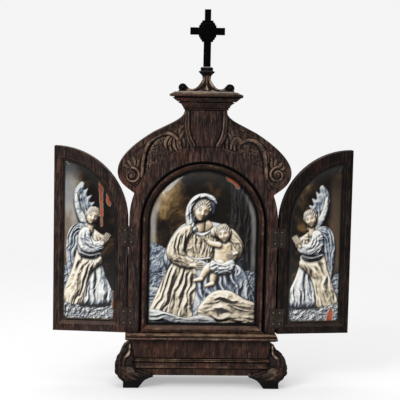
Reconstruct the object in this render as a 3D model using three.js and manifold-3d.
// A carved wooden triptych altarpiece: a moulded base on four scrolled feet, an arched main panel with a
// carved pediment and a cross, and two hinged wings. Each of the three frames holds a domed enamel plaque.
// Millimetres, +Z up, -Y towards the viewer. The origin is on the floor, under the middle of the base.
import * as THREE from "three";
import { mergeVertices } from "three/addons/utils/BufferGeometryUtils.js";
import Module from "manifold-3d";

const wasm = await Module();
wasm.setup();

// Clearances
const TOUCH_GAP = 0.3; // between two pieces that touch
const SWING_GAP = 0.8; // between a closed wing and what it passes

// Base
const BASE_DEPTH = 72;
const FOOT_HEIGHT = 8.2; // the square block under each scroll
const FOOT_WIDTH = 20;
const FOOT_DEPTH = 19;
const FOOT_OUTSET = 11.6; // the block's outer face beyond the frieze
const LEAF_OUTSET = 22.8; // the scroll's widest point beyond the frieze
const LEAF_FRONT = 13; // the scroll's front beyond the frieze
const BACK_FOOT_OUTSET = 17;
const LEAF_ROOT = 1.6; // the leaf's thickness where it leaves the frieze
const BRACKET_REACH = 20; // how far the bracket runs inwards from the block
const APRON_BOTTOM = 15.5;
const APRON_HEIGHT = 17.7;
const APRON_STEP = 9.5; // the lower fascia's height
const FILLETS_HEIGHT = 4.7;
const FRIEZE_HEIGHT = 23.7;
const TORUS_HEIGHT = 7;
const TOP_FILLET = 1.3;
const FRIEZE_INSET = 6.4; // the frieze's ends inside the posts' sides
const TORUS_OUT = 9.6; // projections beyond the frieze
const TOP_FILLET_OUT = 6.1;
const FILLETS_OUT = 4.2;
const APRON_OUT = 3.4;
const FASCIA_STEP = 0.9;

// Main panel
const PANEL_SETBACK = 3; // behind the frieze's front
const PANEL_THICKNESS = 18;
const ARCH_RADIUS = 96.8; // outer edge of the posts and of the arch above them
const ARCH_SPRING = 148.9; // above the base's top
const POST_WIDTH = 14.3;
const OPENING_SPRING = 143.9;
const LOBE_REACH = 16; // how far each side lobe stands beyond the post
const NOTCH_ANGLE = 21; // degrees up the arch, where a lobe springs from it
const PEDIMENT_HEIGHT = 47.2; // from the arch's crown to the cornice
const NECK_HALF = 27.2;
const RIM_WIDTH = 7;
const GROUND_DEPTH = 2.2; // how deep the carved ground is sunk
const RIDGE_WIDTH = 3.2;
const VOLUTE_RADIUS = 10.6;

// Splayed moulding round the main plaque
const SPLAY_WIDTH = 12.2;
const SPLAY_DEPTH = 9.4;
const SPLAY_LIP = 1.2;
const SILL_RISE = 11.2;
const PLAQUE_LAP = 1.8; // how far a plaque runs under its moulding

// Enamel plaques
const ENAMEL_THICKNESS = 1.8;
const MAIN_RISE = 5.5; // how far each dome stands proud of its edge
const WING_RISE = 2.8;
const BACKING_THICKNESS = 3;

// Console, cornice, crest and cross
const CONSOLE_PROUD = 2.6;
const STRAP_PROUD = 4.6;
const STRAP_WIDTH = 5.2;
const CONSOLE_FOOT_HALF = 18.4;
const CORNICE_HEIGHT = 23.4;
const CORNICE_OUT = 20.4;
const CORNICE_FRONT = 3; // the neck's front in front of the panel
const CORNICE_SHALLOW = 0.42; // the front's projection as a share of the ends'
const CORNICE_SETBACK = 4; // its back in front of the panel's back
const CREST_HALF = 36;
const CREST_DEPTH = 13;
const CREST_HEIGHT = 15;
const SCROLL_RADIUS = 5.5;
const STEM_HALF = 5.6;
const COLLAR_RADIUS = 11.6;
const COLLAR_HEIGHT = 16.7;
const CROSS_HEIGHT = 73.4;
const CROSS_SPAN = 44.4;
const CROSS_THICKNESS = 6.4;
const SHAFT_WIDTH = 9.2;
const ARM_WIDTH = 9.4;
const TOP_ARM_WIDTH = 7.9;
const CROSSING_HEIGHT = 45.5; // of the arms' middle above the collar
const BOSS_HALF_WIDTH = 11; // the stepped boss where the arms cross
const BOSS_HALF_HEIGHT = 13.7;
const BOSS_THICKNESS = 10;

// Wings
const WING_THICKNESS = 12;
const WING_SWING = 7; // degrees past flat at rest
const MEETING_GAP = 0.8; // between the closed wings
const WING_DROP = 2.4; // the wings' arch below the panel's
const HINGE_STILE = 11; // widths of the flat face
const MEETING_STILE = 7.5;
const BOTTOM_RAIL = 9.6;
const BEVEL_WIDTH = 3.7;
const BEVEL_DEPTH = 3.6;
const LIP_DEPTH = 0.9;

// Hinges
const HINGE_LENGTH = 24.6;
const HINGE_HEIGHTS = { lower: 21.5, upper: 128.2 }; // of the hinges' middles above the base's top
const LEAF_MARGIN = 6.3; // from a hinge leaf's edge to the post's inner edge
const LEAF_THICKNESS = 1;
const KNUCKLE_RADIUS = 1.1;
const KNUCKLE_BORE = 0.76;
const PIN_RADIUS = 0.55;
const PIN_HEAD = 0.95;
const AXIS_OUTSET = 1.2; // the pin's middle beyond the post's side
const AXIS_FORWARD = 0.3; // the pin's middle in front of the post's face

// Places that follow from the sizes
const friezeHalf = ARCH_RADIUS - FRIEZE_INSET;
const openingRadius = ARCH_RADIUS - POST_WIDTH;
const leafWidth = POST_WIDTH - LEAF_MARGIN;
const carvingStep = ARCH_RADIUS / 100; // the carving keeps its proportions to the arch
const frontOfBase = -BASE_DEPTH / 2;
const backOfBase = BASE_DEPTH / 2;
const friezeFront = frontOfBase + LEAF_FRONT;
const apronTop = APRON_BOTTOM + APRON_HEIGHT;
const filletsTop = apronTop + FILLETS_HEIGHT;
const friezeTop = filletsTop + FRIEZE_HEIGHT;
const baseTop = friezeTop + TORUS_HEIGHT + TOP_FILLET;
const panelFront = friezeFront + PANEL_SETBACK;
const panelBack = panelFront + PANEL_THICKNESS;
const archCentre = baseTop + ARCH_SPRING;
const archCrown = archCentre + ARCH_RADIUS;
const openingCentre = baseTop + OPENING_SPRING;
const neckTop = archCrown + PEDIMENT_HEIGHT;
const corniceTop = neckTop + CORNICE_HEIGHT;
const crestTop = corniceTop + CREST_HEIGHT;
const collarTop = crestTop + COLLAR_HEIGHT;
const axisX = ARCH_RADIUS + AXIS_OUTSET;
const axisY = panelFront - AXIS_FORWARD;

const finishes = {
  wood: new THREE.MeshStandardMaterial({ color: 0x3f2c26, roughness: 0.62, metalness: 0 }),
  ebonised: new THREE.MeshStandardMaterial({ color: 0x120e0d, roughness: 0.5, metalness: 0 }),
  backing: new THREE.MeshStandardMaterial({ color: 0x55402f, roughness: 0.8, metalness: 0 }),
  enamel: new THREE.MeshStandardMaterial({ color: 0x8b8880, roughness: 0.16, metalness: 0 }),
  metal: new THREE.MeshStandardMaterial({ color: 0x5b5044, roughness: 0.5, metalness: 0.85 }),
};

// Solids and meshes

function solid(geometry) {
  const bare = geometry.clone();
  for (const name of Object.keys(bare.attributes)) {
    if (name !== "position") bare.deleteAttribute(name);
  }
  const merged = mergeVertices(bare, 1e-4);
  const vertProperties = new Float32Array(merged.attributes.position.array);
  const triVerts = new Uint32Array(merged.index.array);
  return new wasm.Manifold(new wasm.Mesh({ numProp: 3, vertProperties, triVerts }));
}

function geometryOf(body) {
  const { numProp, vertProperties, triVerts } = body.getMesh();
  const position = new Float32Array((vertProperties.length / numProp) * 3);
  for (let i = 0; i < position.length / 3; i += 1) {
    position.set(vertProperties.subarray(i * numProp, i * numProp + 3), i * 3);
  }
  const geometry = new THREE.BufferGeometry();
  geometry.setAttribute("position", new THREE.BufferAttribute(position, 3));
  geometry.setIndex(new THREE.BufferAttribute(new Uint32Array(triVerts), 1));
  geometry.computeVertexNormals();
  return geometry;
}

function mesh(name, body, finish) {
  const made = new THREE.Mesh(geometryOf(body), finish);
  made.name = name;
  return made;
}

function box(x0, x1, y0, y1, z0, z1) {
  const geometry = new THREE.BoxGeometry(x1 - x0, y1 - y0, z1 - z0);
  return solid(geometry.translate((x0 + x1) / 2, (y0 + y1) / 2, (z0 + z1) / 2));
}

// An outline in x and z, carried from yFront to yBack.
function alongY(points, yFront, yBack) {
  const shape = new THREE.Shape(points);
  const geometry = new THREE.ExtrudeGeometry(shape, {
    depth: yBack - yFront,
    bevelEnabled: false,
    curveSegments: 1,
  });
  return solid(geometry.rotateX(Math.PI / 2).translate(0, yBack, 0));
}

// An outline in y and z, carried from xLeft to xRight.
function alongX(points, xLeft, xRight) {
  const geometry = new THREE.ExtrudeGeometry(new THREE.Shape(points), {
    depth: xRight - xLeft,
    bevelEnabled: false,
  });
  const turn = new THREE.Matrix4().makeBasis(
    new THREE.Vector3(0, 1, 0),
    new THREE.Vector3(0, 0, 1),
    new THREE.Vector3(1, 0, 0),
  );
  return solid(geometry.applyMatrix4(turn).translate(xLeft, 0, 0));
}

function point(x, z) {
  return new THREE.Vector2(x, z);
}

function bezier(ends, steps) {
  const curve = new THREE.CubicBezierCurve(...ends.map(([x, z]) => point(x, z)));
  return curve.getPoints(steps);
}

function arc(centreX, centreZ, radius, from, to, steps) {
  return Array.from({ length: steps + 1 }, (_, i) => {
    const angle = from + ((to - from) * i) / steps;
    return point(centreX + radius * Math.cos(angle), centreZ + radius * Math.sin(angle));
  });
}

function flipped(points) {
  return points.map((p) => point(-p.x, p.y)).reverse();
}

// A line moved sideways: to the left of its direction where distance is above 0.
function moved(points, distance) {
  return points.map((p, i) => {
    const before = points[Math.max(i - 1, 0)];
    const after = points[Math.min(i + 1, points.length - 1)];
    const along = after.clone().sub(before).normalize();
    return point(p.x - along.y * distance, p.y + along.x * distance);
  });
}

function strip(points, width) {
  return [...moved(points, -width / 2), ...moved(points, width / 2).reverse()];
}

// A closed surface through rings of the same length, each a list of [x, y, z], with flat ends.
function skin(rings, capPoints) {
  const count = rings[0].length;
  const index = [];
  for (let r = 0; r < rings.length - 1; r += 1) {
    for (let i = 0; i < count; i += 1) {
      const j = (i + 1) % count;
      const [a, b, c, d] = [r * count + i, r * count + j, (r + 1) * count + j, (r + 1) * count + i];
      index.push(a, b, c, a, c, d);
    }
  }
  const last = (rings.length - 1) * count;
  for (const [a, b, c] of THREE.ShapeUtils.triangulateShape(capPoints, [])) {
    index.push(c, b, a, last + a, last + b, last + c);
  }
  const geometry = new THREE.BufferGeometry();
  geometry.setAttribute("position", new THREE.Float32BufferAttribute(rings.flat(2), 3));
  geometry.setIndex(index);
  return geometry;
}

function upright(made) {
  return made.volume() < 0 ? null : made;
}

// A skin whose outline may run either way round.
function skinSolid(rings, capPoints) {
  const made = solid(skin(rings, capPoints));
  return upright(made) ?? solid(skin([...rings].reverse(), capPoints));
}

// A board with the same moulding on its front and both sides. The profile is [projection, z], from below.
function moulded(profile, half, front, back) {
  const rings = profile.map(([out, z]) => [
    [-half - out, front - out, z],
    [half + out, front - out, z],
    [half + out, back, z],
    [-half - out, back, z],
  ]);
  return skinSolid(rings, [point(0, 0), point(1, 0), point(1, 1), point(0, 1)]);
}

function mirrored(body) {
  return body.mirror([1, 0, 0]);
}

// Outlines of an arched board or opening

function archPoints(radius, centre, bottom, steps) {
  return [
    point(-radius, bottom),
    point(radius, bottom),
    ...arc(0, centre, radius, 0, Math.PI, steps),
  ];
}

// One wing's outline, with its hinge side at low x, its arch centred on the meeting edge at closing.
function wingPoints(radius, centre, outer, bottom, steps) {
  const middle = axisX;
  const start = Math.acos((outer - middle) / radius);
  return [
    point(middle - radius, bottom),
    point(outer, bottom),
    ...arc(middle, centre, radius, start, Math.PI, steps),
  ];
}

// A thin domed plate: inside its flat rim, rings of its outline shrink to the middle while they rise
// towards the viewer.
function domed(outline, edgeY, rise) {
  const power = 2.6;
  const extent = new THREE.Box2().setFromPoints(outline);
  const middle = extent.getCenter(new THREE.Vector2());
  const rim = 1 - (PLAQUE_LAP + 0.6) / (extent.max.x - middle.x);
  const levels = [...[0.3, 0.59, 0.83, 1].map((share) => share * rim), 1];
  const rings = levels.length;
  const count = outline.length;
  const position = [];
  for (const depth of [0, ENAMEL_THICKNESS]) {
    position.push(middle.x, edgeY - rise + depth, middle.y);
    for (const share of levels) {
      const y = edgeY - rise * (1 - Math.min(1, share / rim) ** power) + depth;
      for (const p of outline) {
        position.push(middle.x + (p.x - middle.x) * share, y, middle.y + (p.y - middle.y) * share);
      }
    }
  }
  const layer = 1 + rings * count;
  const index = [];
  for (let i = 0; i < count; i += 1) {
    const j = (i + 1) % count;
    index.push(0, 1 + i, 1 + j, layer, layer + 1 + j, layer + 1 + i);
    for (let r = 0; r < rings - 1; r += 1) {
      const [a, b] = [1 + r * count + i, 1 + r * count + j];
      const [c, d] = [b + count, a + count];
      index.push(a, d, c, a, c, b, layer + a, layer + b, layer + c, layer + a, layer + c, layer + d);
    }
    const [e, f] = [1 + (rings - 1) * count + i, 1 + (rings - 1) * count + j];
    index.push(e, layer + e, layer + f, e, layer + f, f);
  }
  const geometry = new THREE.BufferGeometry();
  geometry.setAttribute("position", new THREE.Float32BufferAttribute(position, 3));
  geometry.setIndex(index);
  return solid(geometry);
}

// Base

function roundNose(low, high, inner, outer, steps) {
  const middle = (low + high) / 2;
  const half = (high - low) / 2;
  return Array.from({ length: steps + 1 }, (_, i) => {
    const angle = -Math.PI / 2 + (Math.PI * i) / steps;
    return [inner + (outer - inner) * Math.cos(angle), middle + half * Math.sin(angle)];
  });
}

function apronProfile(grow) {
  const step = APRON_BOTTOM + APRON_STEP;
  return [
    [APRON_OUT - FASCIA_STEP + grow, APRON_BOTTOM],
    [APRON_OUT - FASCIA_STEP + grow, step],
    [APRON_OUT + grow, step + FASCIA_STEP],
    [APRON_OUT + grow, apronTop],
  ];
}

function baseBoards() {
  const boards = {};
  boards.base_apron = moulded(apronProfile(0), friezeHalf, friezeFront, backOfBase);
  const low = apronTop + TOUCH_GAP;
  const step = FILLETS_HEIGHT / 2;
  boards.base_lower_moulding = moulded(
    [
      [APRON_OUT - 0.8, low],
      [FILLETS_OUT, low + 0.7],
      [FILLETS_OUT, apronTop + step - 0.5],
      [FILLETS_OUT - 1.6, apronTop + step],
      [FILLETS_OUT - 1.2, apronTop + step + 0.8],
      [FILLETS_OUT - 1.4, filletsTop],
    ],
    friezeHalf,
    friezeFront,
    backOfBase,
  );
  const hollow = Array.from({ length: 6 }, (_, i) => {
    const share = i / 5;
    return [1.3 * (1 - share) ** 2, filletsTop + TOUCH_GAP + (FRIEZE_HEIGHT - TOUCH_GAP) * share];
  });
  boards.base_frieze = moulded(hollow, friezeHalf, friezeFront, backOfBase);
  const torusLow = friezeTop + TOUCH_GAP;
  const torusTop = friezeTop + TORUS_HEIGHT;
  boards.base_top_moulding = moulded(
    [
      ...roundNose(torusLow, torusTop, TORUS_OUT - 3.4, TORUS_OUT, 8),
      [TOP_FILLET_OUT - 1, torusTop + 0.1],
      [TOP_FILLET_OUT - 1, torusTop + TOP_FILLET / 2],
      [TOP_FILLET_OUT, torusTop + TOP_FILLET / 2 + 0.1],
      [TOP_FILLET_OUT, baseTop],
    ],
    friezeHalf,
    friezeFront,
    backOfBase,
  );
  return boards;
}

// The scroll's outer edge, from the top of the block to the top of the frieze, in steps of carved leaves.
function scrollEdge(blockOut, widest) {
  const lowest = FOOT_HEIGHT;
  const top = friezeTop - 1.5;
  const rise = top - lowest;
  const places = [
    [blockOut, 0],
    [blockOut + (widest - blockOut) * 0.4, 0.08],
    [widest - 3.2, 0.15],
    [widest - 0.5, 0.24],
    [widest, 0.33],
    [widest - 0.8, 0.48],
    [widest - 3.2, 0.6],
    [widest - 5.8, 0.69],
    [widest - 7.2, 0.705],
    [widest - 13, 0.8],
    [widest - 14.4, 0.815],
    [widest - 18.5, 0.9],
    [LEAF_ROOT, 0.97],
  ];
  return places.map(([out, share]) => {
    return point(friezeHalf + Math.max(out, LEAF_ROOT), lowest + rise * share);
  });
}

// The bracket's lower edge, from under the apron down to the block.
function bracketEdge(inner) {
  const end = inner - BRACKET_REACH;
  return bezier(
    [
      [end, APRON_BOTTOM - 0.6],
      [end + 11, APRON_BOTTOM - 1.8],
      [inner - 6, 7.5],
      [inner - 1, 0.8],
    ],
    7,
  );
}

function baseCutter() {
  const wide = [TOUCH_GAP, TOUCH_GAP];
  const apron = moulded(
    [
      [APRON_OUT + wide[0], APRON_BOTTOM - TOUCH_GAP],
      [APRON_OUT + wide[0], apronTop + 0.2],
    ],
    friezeHalf,
    friezeFront,
    backOfBase + 1,
  );
  const moulding = moulded(
    [
      [FILLETS_OUT + wide[1], apronTop],
      [FILLETS_OUT + wide[1], filletsTop + 0.1],
      [1.3 + TOUCH_GAP, filletsTop + 0.1 + TOUCH_GAP],
      [TOUCH_GAP, filletsTop + FRIEZE_HEIGHT * 0.6],
      [TOUCH_GAP, friezeTop + 1],
    ],
    friezeHalf,
    friezeFront,
    backOfBase + 1,
  );
  return apron.add(moulding);
}

// A corner foot on the right: the front view's outline and the side view's outline, both cut through one block.
function foot(isFront) {
  const reach = isFront ? LEAF_OUTSET : BACK_FOOT_OUTSET;
  const blockOuter = friezeHalf + FOOT_OUTSET;
  const blockInner = blockOuter - FOOT_WIDTH;
  const scroll = scrollEdge(FOOT_OUTSET, reach);
  const leafEdge = bezier(
    [
      [friezeHalf - 2, apronTop + 5],
      [friezeHalf + 1, apronTop - 9],
      [blockInner - 1, APRON_BOTTOM + 7],
      [blockInner - BRACKET_REACH, APRON_BOTTOM + 1],
    ],
    7,
  );
  const frontView = alongY(
    [
      point(blockInner, 0),
      point(blockOuter, 0),
      ...scroll,
      point(friezeHalf - 2, friezeTop - 1.5),
      ...leafEdge,
      ...bracketEdge(blockInner),
    ],
    frontOfBase - 1,
    backOfBase + 1,
  );
  const side = isFront ? frontSide() : backSide();
  const sideView = alongX(side, friezeHalf - 60, friezeHalf + 60);
  let made = frontView.intersect(sideView).subtract(baseCutter());
  if (isFront) {
    for (const groove of leafGrooves(blockInner, blockOuter)) made = made.subtract(groove);
  }
  return made;
}

function frontSide() {
  const blockFront = frontOfBase + 3;
  const blockBack = blockFront + FOOT_DEPTH;
  return [
    point(blockFront, 0),
    point(blockBack, 0),
    point(blockBack + 1, FOOT_HEIGHT),
    point(blockBack + 7, APRON_BOTTOM),
    point(blockBack + 7, APRON_BOTTOM + 4),
    point(blockBack + 2, apronTop),
    point(blockBack - 3, friezeTop - 1.5),
    point(friezeFront + 1, friezeTop - 1.5),
    point(friezeFront - 2.5, filletsTop + 6),
    point(frontOfBase + 3, apronTop - 1),
    point(frontOfBase + 0.6, apronTop - 7),
    point(frontOfBase, APRON_BOTTOM + 3),
    point(frontOfBase + 1.4, APRON_BOTTOM - 3),
    point(blockFront, FOOT_HEIGHT),
  ];
}

function backSide() {
  const blockBack = backOfBase;
  const blockFront = blockBack - FOOT_DEPTH;
  return [
    point(blockFront, 0),
    point(blockBack, 0),
    point(blockBack, friezeTop - 1.5),
    point(blockFront + 6, friezeTop - 1.5),
    point(blockFront - 1, apronTop),
    point(blockFront - 6, APRON_BOTTOM + 4),
    point(blockFront - 6, APRON_BOTTOM),
    point(blockFront - 1, FOOT_HEIGHT),
  ];
}

// Veins of the leaf, cut into the front of a foot.
function leafGrooves(inner, outer) {
  const veins = [
    [
      [outer - 3, FOOT_HEIGHT + 4],
      [outer + 3, APRON_BOTTOM + 8],
      [outer + 3, apronTop - 2],
      [friezeHalf + 9, filletsTop + 5],
    ],
    [
      [outer - 9, FOOT_HEIGHT + 2],
      [outer - 6, APRON_BOTTOM + 6],
      [outer - 4, apronTop - 6],
      [friezeHalf + 7, filletsTop - 2],
    ],
    [
      [outer - 14, FOOT_HEIGHT + 1],
      [outer - 15, APRON_BOTTOM],
      [inner - 4, APRON_BOTTOM + 3],
      [inner - 12, APRON_BOTTOM + 2.5],
    ],
  ];
  return veins.map((ends) => alongY(strip(bezier(ends, 6), 1.2), frontOfBase - 1, frontOfBase + 2.2));
}

// Main panel

// A place in the right spandrel, in carving steps inwards from the post's side and up from the crown.
function spandrelPlace(inwards, up) {
  return [ARCH_RADIUS - inwards * carvingStep, archCrown + up * carvingStep];
}

// The right half of the pediment's outline, from the notch above the post to the neck.
function pedimentEdge() {
  const notch = THREE.MathUtils.degToRad(NOTCH_ANGLE);
  const reach = ARCH_RADIUS + LOBE_REACH;
  const notchX = ARCH_RADIUS * Math.cos(notch);
  const notchZ = archCentre + ARCH_RADIUS * Math.sin(notch);
  const [, widest] = spandrelPlace(0, -34.4);
  const shoulder = spandrelPlace(29.9, 17.9);
  const lobe = bezier(
    [
      [notchX + 2.3 * carvingStep, notchZ + 2 * carvingStep],
      [notchX + 10.8 * carvingStep, notchZ + 8.3 * carvingStep],
      [reach, notchZ + 15.5 * carvingStep],
      [reach, widest],
    ],
    9,
  );
  const slope = bezier(
    [[reach, widest], [reach, widest + 18.2 * carvingStep], spandrelPlace(6.3, 2.9), shoulder],
    12,
  );
  const neck = bezier(
    [
      shoulder,
      spandrelPlace(47.4, 27.6),
      [NECK_HALF, neckTop - 12],
      [NECK_HALF, neckTop - 2.5],
    ],
    9,
  );
  return [...lobe, ...slope.slice(1), ...neck.slice(1)];
}

function panelOutline() {
  const edge = pedimentEdge();
  const notch = THREE.MathUtils.degToRad(NOTCH_ANGLE);
  const right = [
    point(ARCH_RADIUS, baseTop + TOUCH_GAP),
    ...arc(0, archCentre, ARCH_RADIUS, 0, notch, 4),
    ...edge,
    point(NECK_HALF, neckTop),
  ];
  return [...right, ...flipped(right)];
}

// The sunk ground of the right spandrel, between the rim, the arch and the console.
function groundOutline() {
  const edge = pedimentEdge();
  const rim = moved(edge, RIM_WIDTH).filter((p) => p.x > NECK_HALF + 2);
  const crown = archCentre + Math.sqrt((ARCH_RADIUS + 1) ** 2 - NECK_HALF ** 2);
  const side = [point(NECK_HALF + 1.6, rim.at(-1).y + 1), point(NECK_HALF - 2, crown + 12)];
  const from = Math.acos((NECK_HALF - 4) / (ARCH_RADIUS + 1));
  const lowest = rim[0];
  const to = Math.atan2(lowest.y - archCentre, lowest.x) + 0.02;
  const inner = arc(0, archCentre, ARCH_RADIUS + 1, from, to, 12);
  return [...rim, ...side, ...inner];
}

// The C-shaped ridge of the right spandrel, up from the arch, over, and down towards the console.
function ridgeLine() {
  const top = spandrelPlace(51.7, 13.9);
  const rise = bezier(
    [spandrelPlace(16.8, -41.3), spandrelPlace(19.1, 1), spandrelPlace(37.2, 16.5), top],
    9,
  );
  const curl = bezier(
    [top, spandrelPlace(59.9, 12.4), spandrelPlace(65.1, 5.2), spandrelPlace(62, -2)],
    6,
  );
  return [...rise, ...curl.slice(1)];
}

// Leaves of the right spandrel, each a curved strip.
function leafLines() {
  return [
    [[64, 1], [59, 9.3], [51.7, 8.3], [47.5, -2]],
    [[59, -2], [54.8, 4.1], [49.6, 2], [47.5, -5.2]],
    [[6.2, -27.9], [-1, -20.7], [-8.3, -22.7], [-7.2, -32]],
    [[10.3, -24.8], [8.3, -14.5], [2.1, -12.4], [-3.1, -18.6]],
    [[66.1, 20.7], [62, 12.4], [68.2, 6.2], [69.2, 2]],
  ].map((ends) => ends.map(([inwards, up]) => spandrelPlace(inwards, up)));
}

function voluteCentre() {
  return point(...spandrelPlace(3.7, -39.3));
}

function carving() {
  const ground = panelFront + GROUND_DEPTH + 0.1;
  const ridge = alongY(strip(ridgeLine(), RIDGE_WIDTH), panelFront + 0.2, ground);
  const centre = voluteCentre();
  const turn = Math.PI * 2;
  const wide = arc(centre.x, centre.y, VOLUTE_RADIUS, 0, turn, 20).slice(0, -1);
  const narrow = arc(centre.x, centre.y, VOLUTE_RADIUS - 2.6, 0, turn, 20).slice(0, -1);
  const eye = arc(centre.x, centre.y, VOLUTE_RADIUS * 0.36, 0, turn, 12).slice(0, -1);
  const ring = alongY(wide, panelFront + 0.4, ground).subtract(
    alongY(narrow, panelFront - 1, ground + 1),
  );
  let made = ridge.add(ring).add(alongY(eye, panelFront + 0.3, ground));
  for (const line of leafLines()) {
    made = made.add(alongY(strip(bezier(line, 5), 2.4), panelFront + 0.8, ground));
  }
  return made;
}

function mainPanel() {
  const board = alongY(panelOutline(), panelFront, panelBack);
  const opening = alongY(
    archPoints(openingRadius, openingCentre, baseTop - 5, 24),
    panelFront - 1,
    panelBack + 1,
  );
  const ground = alongY(groundOutline(), panelFront - 1, panelFront + GROUND_DEPTH);
  const relief = carving().intersect(
    alongY(panelOutline(), panelFront - 1, panelFront + GROUND_DEPTH + 1),
  );
  let made = board.subtract(ground).subtract(mirrored(ground)).add(relief).add(mirrored(relief));
  made = made.subtract(opening);
  for (const height of Object.values(HINGE_HEIGHTS)) {
    const middle = baseTop + height;
    const half = HINGE_LENGTH / 2 + TOUCH_GAP;
    const mortise = box(
      ARCH_RADIUS - leafWidth - TOUCH_GAP,
      ARCH_RADIUS + 5,
      panelFront - 1,
      panelFront + LEAF_THICKNESS + TOUCH_GAP,
      middle - half,
      middle + half,
    );
    made = made.subtract(mortise).subtract(mirrored(mortise));
  }
  return made;
}

// The splayed moulding's section, as [distance in from the opening, y].
function splaySection() {
  const face = panelFront + 0.6;
  const rabbet = panelFront + SPLAY_DEPTH + SPLAY_LIP;
  const round = Array.from({ length: 6 }, (_, i) => {
    const angle = (Math.PI / 2) * (i / 5);
    return [
      2 + (SPLAY_WIDTH - 2) * (1 - Math.cos(angle)) * 0.4 + (SPLAY_WIDTH - 2) * (i / 5) * 0.6,
      face + (SPLAY_DEPTH - 0.6) * (0.55 * (i / 5) + 0.45 * (i / 5) ** 2.2),
    ];
  });
  return [
    [TOUCH_GAP, face],
    [1.2, face],
    [1.5, face + 1.6],
    ...round,
    [SPLAY_WIDTH, rabbet],
    [SPLAY_WIDTH - PLAQUE_LAP - TOUCH_GAP, rabbet],
    [SPLAY_WIDTH - PLAQUE_LAP - TOUCH_GAP, rabbet + ENAMEL_THICKNESS + 2 * TOUCH_GAP],
    [TOUCH_GAP, rabbet + ENAMEL_THICKNESS + 2 * TOUCH_GAP],
  ];
}

function mitreHeight(inwards) {
  return baseTop + TOUCH_GAP + (inwards * SILL_RISE) / SPLAY_WIDTH;
}

function archMoulding() {
  const section = splaySection();
  const steps = 24;
  const station = (angle, legBottom) =>
    section.map(([inwards, y]) => {
      const radius = openingRadius - inwards;
      const z = legBottom
        ? mitreHeight(inwards) + TOUCH_GAP
        : openingCentre + radius * Math.sin(angle);
      return [radius * Math.cos(angle), y, z];
    });
  const rings = [station(0, true)];
  for (let i = 0; i <= steps; i += 1) rings.push(station((Math.PI * i) / steps, false));
  rings.push(station(Math.PI, true));
  return skinSolid(rings, section.map(([a, b]) => point(a, b)));
}

function sill() {
  const section = splaySection();
  const rings = [-1, 1].map((side) =>
    section.map(([inwards, y]) => [
      side * (openingRadius - Math.max(inwards, TOUCH_GAP)),
      y,
      mitreHeight(inwards),
    ]),
  );
  return skinSolid(rings, section.map(([a, b]) => point(a, b)));
}

function mainPlaque() {
  const lap = SPLAY_WIDTH - PLAQUE_LAP;
  const bottom = mitreHeight(lap) + TOUCH_GAP;
  const outline = archPoints(openingRadius - lap, openingCentre, bottom, 20);
  const edge = panelFront + SPLAY_DEPTH + SPLAY_LIP + TOUCH_GAP;
  return domed(spacedBottom(outline), edge, MAIN_RISE);
}

// An outline whose long straight runs get points between their ends, for a smooth dome.
function spacedBottom(outline) {
  const spaced = [];
  outline.forEach((p, i) => {
    const next = outline[(i + 1) % outline.length];
    const parts = Math.max(1, Math.round(p.distanceTo(next) / 34));
    for (let k = 0; k < parts; k += 1) spaced.push(p.clone().lerp(next, k / parts));
  });
  return spaced;
}

function mainBacking() {
  const outline = archPoints(
    openingRadius - TOUCH_GAP,
    openingCentre,
    baseTop + TOUCH_GAP,
    20,
  );
  return alongY(outline, panelBack - BACKING_THICKNESS, panelBack - TOUCH_GAP);
}

// Console, cornice, crest and cross

function consoleEdge() {
  return bezier(
    [
      [CONSOLE_FOOT_HALF, archCrown + SWING_GAP],
      [CONSOLE_FOOT_HALF + 6.5, archCrown + 12],
      [NECK_HALF + 0.2, archCrown + 17],
      [NECK_HALF - 0.2, neckTop - TOUCH_GAP],
    ],
    10,
  );
}

function consoleTablet() {
  const edge = consoleEdge();
  const back = panelFront - TOUCH_GAP;
  const tablet = alongY([...edge, ...flipped(edge)], panelFront - CONSOLE_PROUD, back);
  const inner = moved(edge, STRAP_WIDTH);
  const strap = alongY([...edge, ...inner.reverse()], panelFront - STRAP_PROUD, back);
  const trimmed = strap.intersect(
    box(0, NECK_HALF * 2, panelFront - 20, panelFront + 20, archCrown + SWING_GAP, neckTop - TOUCH_GAP),
  );
  return tablet.add(trimmed).add(mirrored(trimmed));
}

function cornice() {
  const z = neckTop + TOUCH_GAP;
  const height = corniceTop - z;
  const cyma = Array.from({ length: 6 }, (_, i) => {
    const share = i / 5;
    return [2.6 + 6.6 * share ** 1.3, z + height * (0.2 + 0.22 * share)];
  });
  const profile = [
    [0, z],
    [1.6, z + height * 0.04],
    [2.2, z + height * 0.19],
    ...cyma,
    [CORNICE_OUT * 0.5, z + height * 0.43],
    [CORNICE_OUT * 0.54, z + height * 0.53],
    [CORNICE_OUT * 0.66, z + height * 0.56],
    [CORNICE_OUT * 0.8, z + height * 0.68],
    [CORNICE_OUT * 0.92, z + height * 0.71],
    [CORNICE_OUT, z + height * 0.77],
    [CORNICE_OUT * 0.98, z + height * 0.84],
    [CORNICE_OUT * 0.82, z + height * 0.89],
    [CORNICE_OUT * 0.62, z + height],
  ];
  const front = panelFront - CORNICE_FRONT;
  const rings = profile.map(([out, level]) => [
    [-NECK_HALF - out, front - out * CORNICE_SHALLOW, level],
    [NECK_HALF + out, front - out * CORNICE_SHALLOW, level],
    [NECK_HALF + out, panelBack - CORNICE_SETBACK, level],
    [-NECK_HALF - out, panelBack - CORNICE_SETBACK, level],
  ]);
  return skinSolid(rings, [point(0, 0), point(1, 0), point(1, 1), point(0, 1)]);
}

const crestMiddle = panelFront + CREST_DEPTH / 2 + 0.5;

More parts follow.
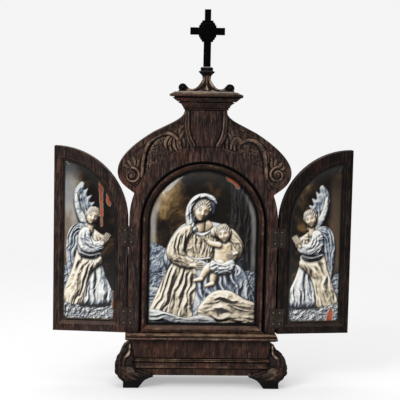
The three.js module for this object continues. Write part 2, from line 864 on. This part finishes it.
// The crest: two scrolls joined by a bow, and an eight-sided stem with a collar.
function crest() {
  const z = corniceTop + TOUCH_GAP;
  const scrollX = CREST_HALF - SCROLL_RADIUS;
  const bow = [
    point(0, z),
    point(CREST_HALF + 1.5, z),
    point(CREST_HALF - 2, z + 1.6),
    ...arc(scrollX, z + SCROLL_RADIUS - 0.8, SCROLL_RADIUS, -0.7, Math.PI - 0.6, 12),
    ...bezier(
      [
        [scrollX - SCROLL_RADIUS - 2.2, z + 4.3],
        [scrollX - 13, z + 1.6],
        [STEM_HALF + 6, z + 2.4],
        [STEM_HALF, crestTop],
      ],
      8,
    ),
    point(0, crestTop),
  ];
  const half = alongY(bow, crestMiddle - CREST_DEPTH / 2, crestMiddle + CREST_DEPTH / 2);
  const eyeDepth = 1.2;
  const eye = alongY(
    arc(scrollX, z + SCROLL_RADIUS - 0.8, SCROLL_RADIUS * 0.45, 0, Math.PI * 2, 12).slice(0, -1),
    crestMiddle - CREST_DEPTH / 2 - eyeDepth,
    crestMiddle + CREST_DEPTH / 2 + eyeDepth,
  );
  const scroll = half.add(eye);
  const stem = [
    [0, z + 2],
    [STEM_HALF + 5, z + 2],
    [STEM_HALF + 2, z + 5.5],
    [STEM_HALF, crestTop - 3],
    [STEM_HALF, crestTop],
    [STEM_HALF + 0.6, crestTop + COLLAR_HEIGHT * 0.32],
    [COLLAR_RADIUS - 2.6, crestTop + COLLAR_HEIGHT * 0.5],
    [COLLAR_RADIUS, crestTop + COLLAR_HEIGHT * 0.66],
    [COLLAR_RADIUS - 3.4, crestTop + COLLAR_HEIGHT * 0.72],
    [COLLAR_RADIUS - 2.8, crestTop + COLLAR_HEIGHT * 0.9],
    [COLLAR_RADIUS - 3.8, collarTop],
    [0, collarTop],
  ];
  const turned = new THREE.LatheGeometry(stem.map(([r, h]) => point(r, h)), 8);
  turned.rotateY(Math.PI / 8).rotateX(Math.PI / 2).translate(0, crestMiddle, 0);
  const round = solid(turned);
  return scroll.add(mirrored(scroll)).add(round);
}

function cross() {
  const z = collarTop + TOUCH_GAP;
  const middle = z + CROSSING_HEIGHT;
  const top = z + CROSS_HEIGHT;
  const front = crestMiddle - CROSS_THICKNESS / 2;
  const back = crestMiddle + CROSS_THICKNESS / 2;
  const shaft = box(-SHAFT_WIDTH / 2, SHAFT_WIDTH / 2, front, back, z, middle);
  const upper = box(-TOP_ARM_WIDTH / 2, TOP_ARM_WIDTH / 2, front, back, middle - 1, top);
  const arms = box(
    -CROSS_SPAN / 2,
    CROSS_SPAN / 2,
    front,
    back,
    middle - ARM_WIDTH / 2,
    middle + ARM_WIDTH / 2,
  );
  const right = [
    [0.63, -1],
    [0.66, -0.82],
    [0.82, -0.77],
    [0.86, -0.6],
    [1, -0.54],
    [1, 0.54],
    [0.86, 0.6],
    [0.82, 0.77],
    [0.66, 0.82],
    [0.63, 1],
  ].map(([across, high]) => point(across * BOSS_HALF_WIDTH, high * BOSS_HALF_HEIGHT));
  const raised = (share, thickness) =>
    alongY(
      [...right, ...flipped(right)].map((p) => point(p.x * share, middle + p.y * share)),
      crestMiddle - thickness / 2,
      crestMiddle + thickness / 2,
    );
  const boss = raised(1, BOSS_THICKNESS - 2).add(raised(0.72, BOSS_THICKNESS));
  return shaft.add(upper).add(arms).add(boss);
}

// Wings, built flat open to the right of the hinge's axis, with their picture face towards the viewer

const wingBottom = baseTop + SWING_GAP;
const wingFace = AXIS_FORWARD;
const wingBack = wingFace + WING_THICKNESS;
const wingEdge = axisX - MEETING_GAP / 2;

function wingOpening(inset) {
  return wingPoints(
    axisX - AXIS_OUTSET - HINGE_STILE - inset,
    openingCentre,
    wingEdge - MEETING_STILE - inset,
    wingBottom + BOTTOM_RAIL + inset,
    16,
  );
}

// A tunnel between two outlines of the same length.
function tunnel(first, y0, second, y1) {
  const rings = [
    [first, y0],
    [second, y1],
  ].map(([outline, y]) => outline.map((p) => [p.x, y, p.y]));
  return skinSolid(rings, first);
}

const rabbetStart = wingFace + BEVEL_DEPTH + LIP_DEPTH;

function wingFrame() {
  const outline = wingPoints(ARCH_RADIUS, archCentre - WING_DROP, wingEdge, wingBottom, 20);
  const slant = BEVEL_WIDTH / BEVEL_DEPTH;
  let made = alongY(outline, wingFace, wingBack);
  made = made.subtract(
    tunnel(wingOpening(-slant), wingFace - 1, wingOpening(BEVEL_WIDTH), wingFace + BEVEL_DEPTH),
  );
  made = made.subtract(alongY(wingOpening(BEVEL_WIDTH), wingFace, wingBack + 1));
  made = made.subtract(alongY(wingOpening(BEVEL_WIDTH - PLAQUE_LAP - TOUCH_GAP), rabbetStart, wingBack + 1));
  for (const height of Object.values(HINGE_HEIGHTS)) {
    const middle = baseTop + height;
    const half = HINGE_LENGTH / 2 + TOUCH_GAP;
    made = made.subtract(
      box(
        -1,
        AXIS_OUTSET + leafWidth + TOUCH_GAP,
        wingFace - 1,
        wingFace + LEAF_THICKNESS + TOUCH_GAP,
        middle - half,
        middle + half,
      ),
    );
  }
  return made;
}

function wingPlaque() {
  const outline = spacedBottom(wingOpening(BEVEL_WIDTH - PLAQUE_LAP));
  return domed(outline, rabbetStart + TOUCH_GAP, WING_RISE);
}

function wingBacking() {
  const outline = wingOpening(BEVEL_WIDTH - PLAQUE_LAP);
  return alongY(outline, wingBack - BACKING_THICKNESS, wingBack - TOUCH_GAP);
}

// Hinges. A leaf's plate lies in its mortise, and its knuckles sit round the pin.

function tube(radius, z0, z1, sides) {
  const geometry = new THREE.CylinderGeometry(radius, radius, z1 - z0, sides);
  return solid(geometry.rotateX(Math.PI / 2).translate(0, 0, (z0 + z1) / 2));
}

function hingeLeaf(middle, knuckles) {
  const half = HINGE_LENGTH / 2;
  const start = KNUCKLE_RADIUS + TOUCH_GAP;
  const back = AXIS_FORWARD + LEAF_THICKNESS;
  let made = box(start, AXIS_OUTSET + leafWidth, AXIS_FORWARD, back, middle - half, middle + half);
  for (const [low, high] of knuckles) {
    const [z0, z1] = [middle + low, middle + high];
    made = made.add(box(0, start + 1, AXIS_FORWARD, back, z0, z1));
    made = made.add(tube(KNUCKLE_RADIUS, z0, z1, 10));
  }
  return made.subtract(tube(KNUCKLE_BORE, middle - half - 1, middle + half + 1, 10));
}

function hingePieces(middle) {
  const half = HINGE_LENGTH / 2;
  const third = HINGE_LENGTH / 6;
  const wing = hingeLeaf(middle, [[-third, third]]);
  const frame = hingeLeaf(middle, [
    [-half, -third - TOUCH_GAP],
    [third + TOUCH_GAP, half],
  ]);
  const rod = tube(PIN_RADIUS, middle - half - 0.5, middle + half + 0.5, 8);
  const pin = rod
    .add(tube(PIN_HEAD, middle - half - 1.4, middle - half - TOUCH_GAP, 8))
    .add(tube(PIN_HEAD, middle + half + TOUCH_GAP, middle + half + 1.4, 8));
  return { wing, frame, pin };
}

// The whole altarpiece

const altarpiece = new THREE.Group();

for (const [name, body] of Object.entries(baseBoards())) {
  altarpiece.add(mesh(name, body, finishes.wood));
}
for (const [place, isFront] of [
  ["front", true],
  ["back", false],
]) {
  const body = foot(isFront);
  altarpiece.add(mesh(`foot_${place}_right`, body, finishes.wood));
  altarpiece.add(mesh(`foot_${place}_left`, mirrored(body), finishes.wood));
}
altarpiece.add(mesh("main_panel", mainPanel(), finishes.wood));
altarpiece.add(mesh("arch_moulding", archMoulding(), finishes.wood));
altarpiece.add(mesh("sill_moulding", sill(), finishes.wood));
altarpiece.add(mesh("main_plaque", mainPlaque(), finishes.enamel));
altarpiece.add(mesh("main_backing", mainBacking(), finishes.backing));
altarpiece.add(mesh("console_tablet", consoleTablet(), finishes.wood));
altarpiece.add(mesh("cornice", cornice(), finishes.wood));
altarpiece.add(mesh("scroll_crest", crest(), finishes.wood));
altarpiece.add(mesh("cross", cross(), finishes.ebonised));

for (const side of ["left", "right"]) {
  const sign = side === "right" ? 1 : -1;
  const turned = (body) => (sign === 1 ? body : mirrored(body));
  const fixed = new THREE.Group();
  fixed.position.set(sign * axisX, axisY, 0);
  const wing = new THREE.Group();
  wing.position.copy(fixed.position);
  wing.rotation.z = sign * THREE.MathUtils.degToRad(WING_SWING);
  wing.add(mesh(`${side}_wing_frame`, turned(wingFrame()), finishes.wood));
  wing.add(mesh(`${side}_wing_plaque`, turned(wingPlaque()), finishes.enamel));
  wing.add(mesh(`${side}_wing_backing`, turned(wingBacking()), finishes.backing));
  for (const [level, height] of Object.entries(HINGE_HEIGHTS)) {
    const pieces = hingePieces(baseTop + height);
    const name = `${side}_${level}_hinge`;
    wing.add(mesh(`${name}_wing_leaf`, turned(pieces.wing), finishes.metal));
    fixed.add(mesh(`${name}_frame_leaf`, turned(mirrored(pieces.frame)), finishes.metal));
    fixed.add(mesh(`${name}_pin`, pieces.pin, finishes.metal));
  }
  altarpiece.add(fixed, wing);
}

export default altarpiece;
